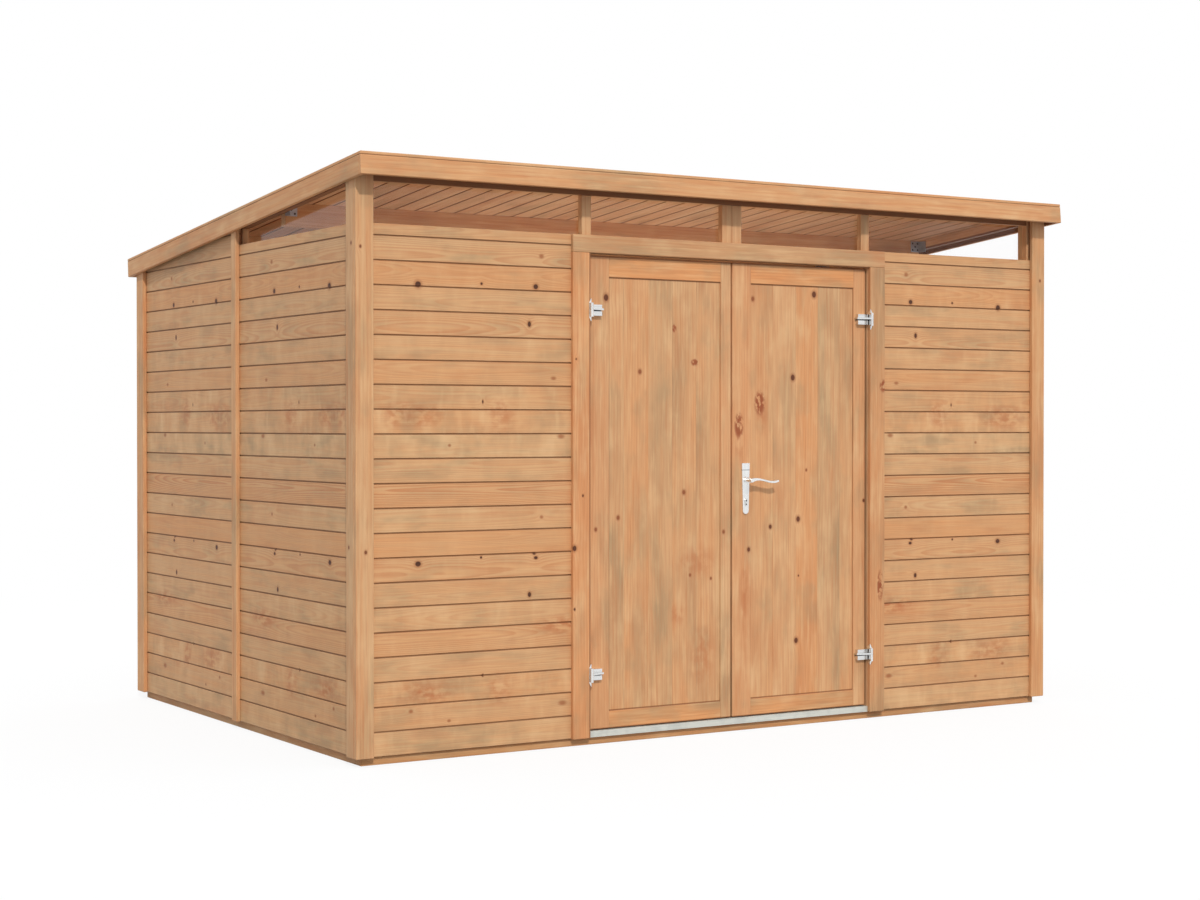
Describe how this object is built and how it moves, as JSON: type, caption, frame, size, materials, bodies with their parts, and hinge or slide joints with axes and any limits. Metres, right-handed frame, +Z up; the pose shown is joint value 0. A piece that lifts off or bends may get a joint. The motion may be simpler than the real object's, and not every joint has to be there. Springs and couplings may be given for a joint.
{
  "type": "wooden garden shed",
  "caption": "Timber garden shed with horizontal boarding, a gently sloping pent roof, high strip windows at the front and sides, and a framed double door with a lever handle.",
  "frame": {"origin": "on the ground under the middle of the roof's outline", "axes": "+X along the front, +Y from the front with the doors to the back, +Z up"},
  "size_m": [3.39, 2.4674, 2.2063],
  "materials": {
    "cladding_wood": "brown dipped, matt",
    "trim_wood": "brown dipped, planed",
    "door_wood": "brown dipped, planed",
    "frame_wood": "brown dipped, planed",
    "inner_board_wood": "planed boards",
    "bearer_wood": "sawn",
    "hinge_steel": "zinc plated",
    "handle_metal": "satin, pale",
    "threshold_aluminium": "mill finish",
    "bracket_steel": "zinc plated",
    "window_glass": "clear",
    "roof_felt": "bitumen felt"
  },
  "bodies": {
    "shed": {"back_left_cladding": "cladding_wood", "back_right_cladding": "cladding_wood", "cross_bearers": "bearer_wood", "door_header": "trim_wood", "door_posts": "frame_wood", "door_sill": "inner_board_wood", "floor_boards": "inner_board_wood", "front_back_corner_boards": "trim_wood", "front_back_fascias": "trim_wood", "front_back_laths": "trim_wood", "front_back_plates": "frame_wood", "front_back_rails": "frame_wood", "front_back_studs": "frame_wood", "front_left_cladding": "cladding_wood", "front_right_cladding": "cladding_wood", "jamb_boards": "trim_wood", "jamb_hinges": "hinge_steel", "left_back_cladding": "cladding_wood", "left_front_cladding": "cladding_wood", "lintel": "frame_wood", "long_bearers": "bearer_wood", "mullions": "frame_wood", "purlin_brackets": "bracket_steel", "purlins": "frame_wood", "right_back_cladding": "cladding_wood", "right_front_cladding": "cladding_wood", "roof_boards": "inner_board_wood", "roof_felt": "roof_felt", "side_corner_boards": "trim_wood", "side_fascias": "trim_wood", "side_laths": "trim_wood", "side_plates": "frame_wood", "side_rails": "frame_wood", "side_studs": "frame_wood", "threshold": "threshold_aluminium", "wall_battens": "trim_wood", "window_panes": "window_glass"},
    "left_door": {"left_door_hinges": "hinge_steel", "left_door_panel": "door_wood", "left_door_rails": "door_wood", "left_door_stiles": "door_wood"},
    "right_door": {"right_door_hinges": "hinge_steel", "right_door_panel": "door_wood", "right_door_rails": "door_wood", "right_door_stiles": "door_wood", "handle_plates": "handle_metal", "lock_cylinder": "handle_metal"},
    "lever": {"door_lever": "handle_metal"}
  },
  "joints": [
    {"name": "left_door_swing", "type": "hinge", "parent": "shed", "child": "left_door", "pos_m": [-0.688, -1.15784, 0], "axis": [0, 0, -1], "range_deg": [0, 135]},
    {"name": "right_door_swing", "type": "hinge", "parent": "shed", "child": "right_door", "pos_m": [0.688, -1.15784, 0], "axis": [0, 0, 1], "range_deg": [0, 135]},
    {"name": "lever_press", "type": "hinge", "parent": "right_door", "child": "lever", "pos_m": [0.062, -1.12034, 1.01], "axis": [0, 1, 0], "range_deg": [0, 45], "stiffness_Nm_per_rad": 0.8, "springref_deg": -14.32}
  ]
}
